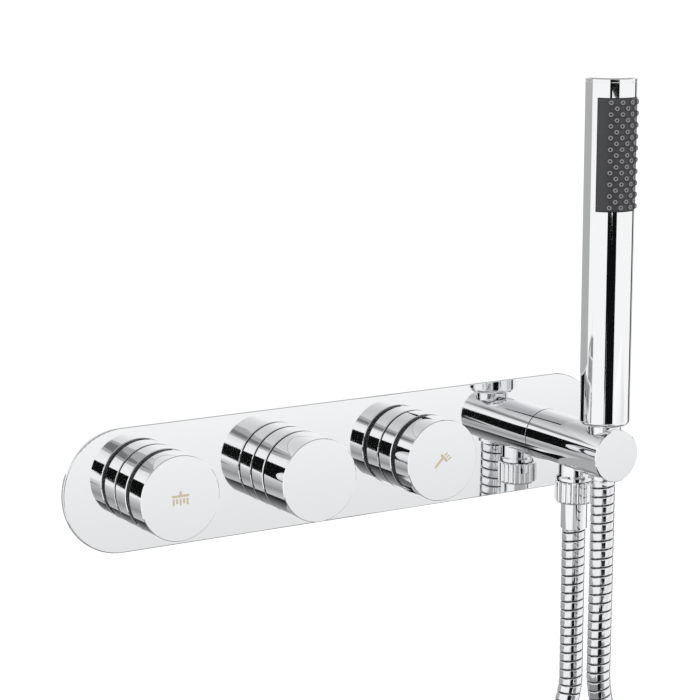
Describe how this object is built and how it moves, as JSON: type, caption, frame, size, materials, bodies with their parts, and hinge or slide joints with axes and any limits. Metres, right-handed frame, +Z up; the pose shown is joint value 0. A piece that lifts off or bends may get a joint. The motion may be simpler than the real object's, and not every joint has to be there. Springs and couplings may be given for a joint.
{
  "type": "thermostatic shower valve",
  "caption": "Wall-plate thermostatic shower valve with turning knobs, an outlet holder and a slim hand shower on a ribbed hose.",
  "frame": {"origin": "centre of the face plate on the finished wall, at the height of the knob axes", "axes": "+Z up, +X to the right as the user sees the plate, +Y into the wall; the plate's front looks along -Y"},
  "size_m": [0.4247, 0.1505, 0.721],
  "materials": {
    "chrome": "polished chrome plate",
    "chrome_hose": "chrome plated ribbed hose",
    "dark_ring": "dark acetal ring in the groove",
    "brass": "machined brass",
    "cast_brass": "cast brass, left rough outside",
    "ceramic": "lapped ceramic",
    "seal_rubber": "rubber",
    "spray_rubber": "dark grey soft silicone",
    "steel": "stainless steel",
    "plastic": "glass-filled plastic",
    "wax_brass": "sealed wax cup"
  },
  "bodies": {
    "fixed": {"face_plate": "chrome", "plate_seal": "seal_rubber", "collar_left": "chrome", "collar_temp": "chrome", "collar_right": "chrome", "glide_ring_left": "dark_ring", "glide_ring_temp": "dark_ring", "glide_ring_right": "dark_ring", "retaining_sleeves": "brass", "flow_housing_left": "brass", "flow_housing_right": "brass", "flow_fixed_disc_left": "ceramic", "flow_fixed_disc_right": "ceramic", "flow_seals_left": "seal_rubber", "flow_seals_right": "seal_rubber", "thermo_housing": "brass", "return_spring": "steel", "thermo_rings": "seal_rubber", "stop_ring": "plastic", "valve_body": "cast_brass", "mounting_bracket": "steel", "bracket_screws": "steel", "check_cages": "plastic", "check_spring_hot": "steel", "check_spring_cold": "steel", "holder_body": "chrome", "holder_tail": "brass", "holder_grub_screw": "steel", "outlet_nipple": "chrome", "hose_nut_lower": "chrome", "hose_washer_lower": "seal_rubber", "hose_ferrule_lower": "chrome", "hose_down": "chrome_hose", "hose_coil": "chrome_hose", "hose_up": "chrome_hose", "hose_tie": "seal_rubber"},
    "knob_left_turn": {"knob_left": "chrome", "knob_grub_screw_left": "steel", "flow_spindle_left": "brass", "flow_moving_disc_left": "ceramic"},
    "knob_right_turn": {"knob_right": "chrome", "knob_grub_screw_right": "steel", "flow_spindle_right": "brass", "flow_moving_disc_right": "ceramic"},
    "knob_temp_turn": {"knob_temp": "chrome", "knob_grub_screw_temp": "steel", "thermo_spindle": "brass"},
    "drive_nut": {"thermo_drive_nut": "plastic", "overload_spring": "steel"},
    "shuttle_group": {"shuttle": "brass", "wax_element": "wax_brass"},
    "poppet_hot": {"check_poppet_hot": "plastic"},
    "poppet_cold": {"check_poppet_cold": "plastic"},
    "handset_lifted": {"hose_ferrule_upper": "chrome", "hose_washer_upper": "seal_rubber"},
    "handset": {"handset_body": "chrome", "handset_cap": "chrome", "spray_face": "spray_rubber", "handset_connector": "brass", "hose_nut_upper": "chrome"}
  },
  "joints": [
    {"name": "left_knob_turn", "type": "hinge", "parent": "fixed", "child": "knob_left_turn", "pos_m": [-0.132, -0.03, 0], "axis": [0, -1, 0], "range_deg": [0, 90]},
    {"name": "right_knob_turn", "type": "hinge", "parent": "fixed", "child": "knob_right_turn", "pos_m": [0.046, -0.03, 0], "axis": [0, -1, 0], "range_deg": [0, 90]},
    {"name": "temperature_knob_turn", "type": "hinge", "parent": "fixed", "child": "knob_temp_turn", "pos_m": [-0.043, -0.03, 0], "axis": [0, -1, 0], "range_deg": [-150, 60]},
    {"name": "drive_nut_slide", "type": "slide", "parent": "fixed", "child": "drive_nut", "axis": [0, 1, 0], "range_m": [-0.0011, 0.0026]},
    {"name": "shuttle_slide", "type": "slide", "parent": "fixed", "child": "shuttle_group", "axis": [0, 1, 0], "range_m": [-0.0011, 0.0026], "deforming": ["return_spring"]},
    {"name": "hot_check_lift", "type": "slide", "parent": "fixed", "child": "poppet_hot", "axis": [0, 0, 1], "range_m": [0, 0.0025], "stiffness_N_per_m": 40, "deforming": ["check_spring_hot"]},
    {"name": "cold_check_lift", "type": "slide", "parent": "fixed", "child": "poppet_cold", "axis": [0, 0, 1], "range_m": [0, 0.0025], "stiffness_N_per_m": 40, "deforming": ["check_spring_cold"]},
    {"name": "handset_lift", "type": "slide", "parent": "fixed", "child": "handset_lifted", "axis": [0, 0, 1], "range_m": [0, 0.06]},
    {"name": "handset_turn", "type": "hinge", "parent": "handset_lifted", "child": "handset", "pos_m": [0.148, -0.064, 0.1], "axis": [0, 0, 1], "continuous": true}
  ],
  "couplings": [
    {"joint": "drive_nut_slide", "follows": "temperature_knob_turn", "m_per_rad": -0.00095493},
    {"joint": "shuttle_slide", "follows": "temperature_knob_turn", "m_per_rad": -0.00095493}
  ]
}
